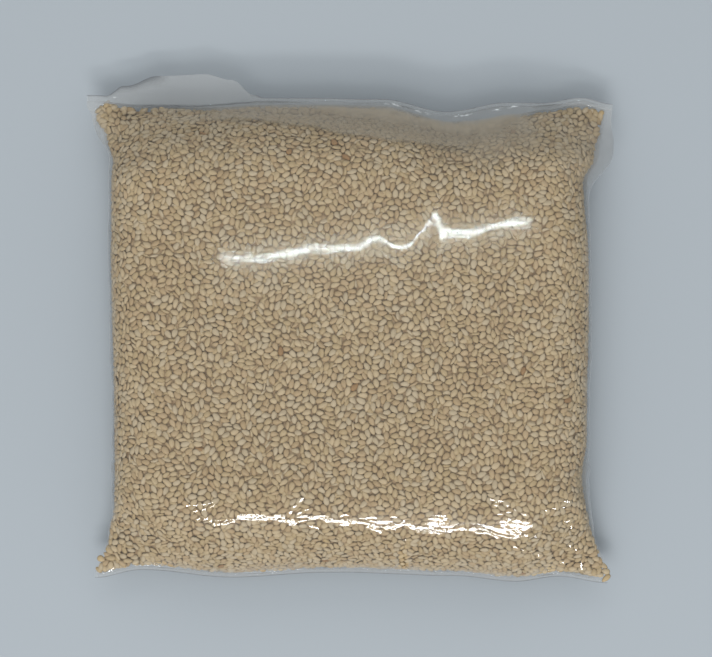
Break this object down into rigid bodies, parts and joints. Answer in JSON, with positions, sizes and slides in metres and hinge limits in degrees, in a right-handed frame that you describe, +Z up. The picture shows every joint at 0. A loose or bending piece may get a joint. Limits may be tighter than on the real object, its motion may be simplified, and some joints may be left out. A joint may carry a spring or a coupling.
{
  "type": "packet of sesame seeds",
  "caption": "Clear film pillow pouch filled tight with hulled sesame seeds, sealed across both ends, lying flat.",
  "frame": {"origin": "middle of the packet's box, at the level of the table it lies on", "axes": "+X across the packet, +Y from its bottom seal to its top seal, +Z up out of the shown face"},
  "size_m": [0.1912, 0.1836, 0.033],
  "materials": {
    "film": "thin clear glossy film",
    "seeds": "matt, slightly oily hulled seeds"
  },
  "bodies": {
    "root": {"bag": "film"}
  },
  "joints": []
}
